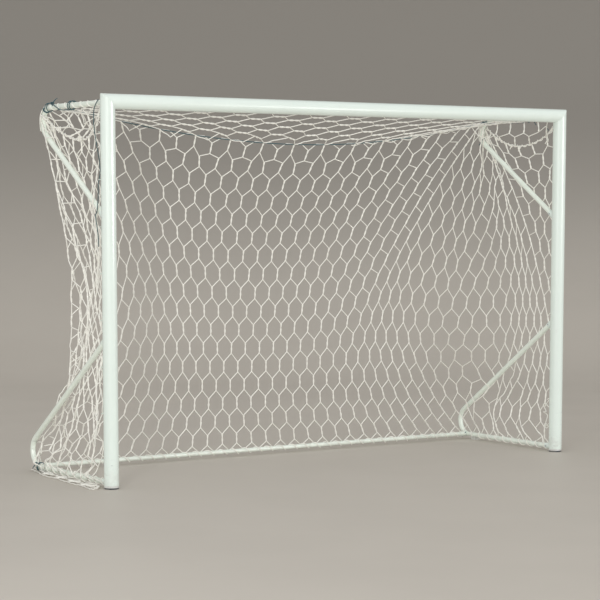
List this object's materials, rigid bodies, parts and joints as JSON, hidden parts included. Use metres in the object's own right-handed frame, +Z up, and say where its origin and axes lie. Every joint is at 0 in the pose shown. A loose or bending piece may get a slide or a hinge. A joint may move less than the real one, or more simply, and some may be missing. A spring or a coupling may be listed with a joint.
{
  "type": "futsal goal",
  "caption": "Free-standing small-sided goal: mitred round-tube mouth frame with bent net hoops, a rear ground bar and a loose hexagonal net hung from hooks and a rope.",
  "frame": {"origin": "on the floor, under the middle of the goal's box", "axes": "+X along the mouth from the left post to the right post, +Y from the mouth to the back of the net, +Z up"},
  "size_m": [3.16, 1.0024, 2.08],
  "materials": {
    "frame_paint": "glossy white powder coat",
    "hoop_paint": "satin white powder coat",
    "casting": "as cast",
    "screw_steel": "zinc plated",
    "foot_plastic": "moulded, satin",
    "foot_rubber": "moulded, matt",
    "net_cord": "knotless twisted cord",
    "tie_cord": "dark teal braided cord"
  },
  "bodies": {
    "root": {"crossbar": "frame_paint", "left_post": "frame_paint", "right_post": "frame_paint", "corner_connector_left": "casting", "corner_connector_right": "casting", "connector_screw_post_left": "screw_steel", "connector_screw_post_right": "screw_steel", "connector_screw_bar_left": "screw_steel", "connector_screw_bar_right": "screw_steel", "foot_plug_left": "foot_plastic", "foot_plug_right": "foot_plastic", "foot_pad_left": "foot_rubber", "foot_pad_right": "foot_rubber", "upper_hoop_left": "hoop_paint", "upper_hoop_right": "hoop_paint", "lower_hoop_left": "hoop_paint", "lower_hoop_right": "hoop_paint", "hoop_screw_top_left": "screw_steel", "hoop_screw_top_right": "screw_steel", "hoop_screw_upper_left": "screw_steel", "hoop_screw_upper_right": "screw_steel", "hoop_screw_lower_left": "screw_steel", "hoop_screw_lower_right": "screw_steel", "hoop_screw_ground_left": "screw_steel", "hoop_screw_ground_right": "screw_steel", "rear_ground_bar": "hoop_paint", "rear_bar_screw_left": "screw_steel", "rear_bar_screw_right": "screw_steel", "rear_foot_left": "foot_rubber", "rear_foot_right": "foot_rubber", "net_back": "net_cord", "net_side_left": "net_cord", "net_side_right": "net_cord", "net_top": "net_cord", "rear_top_rope": "tie_cord", "rope_wrap_left": "tie_cord", "rope_wrap_right": "tie_cord", "lacing_cord": "tie_cord"}
  },
  "joints": []
}
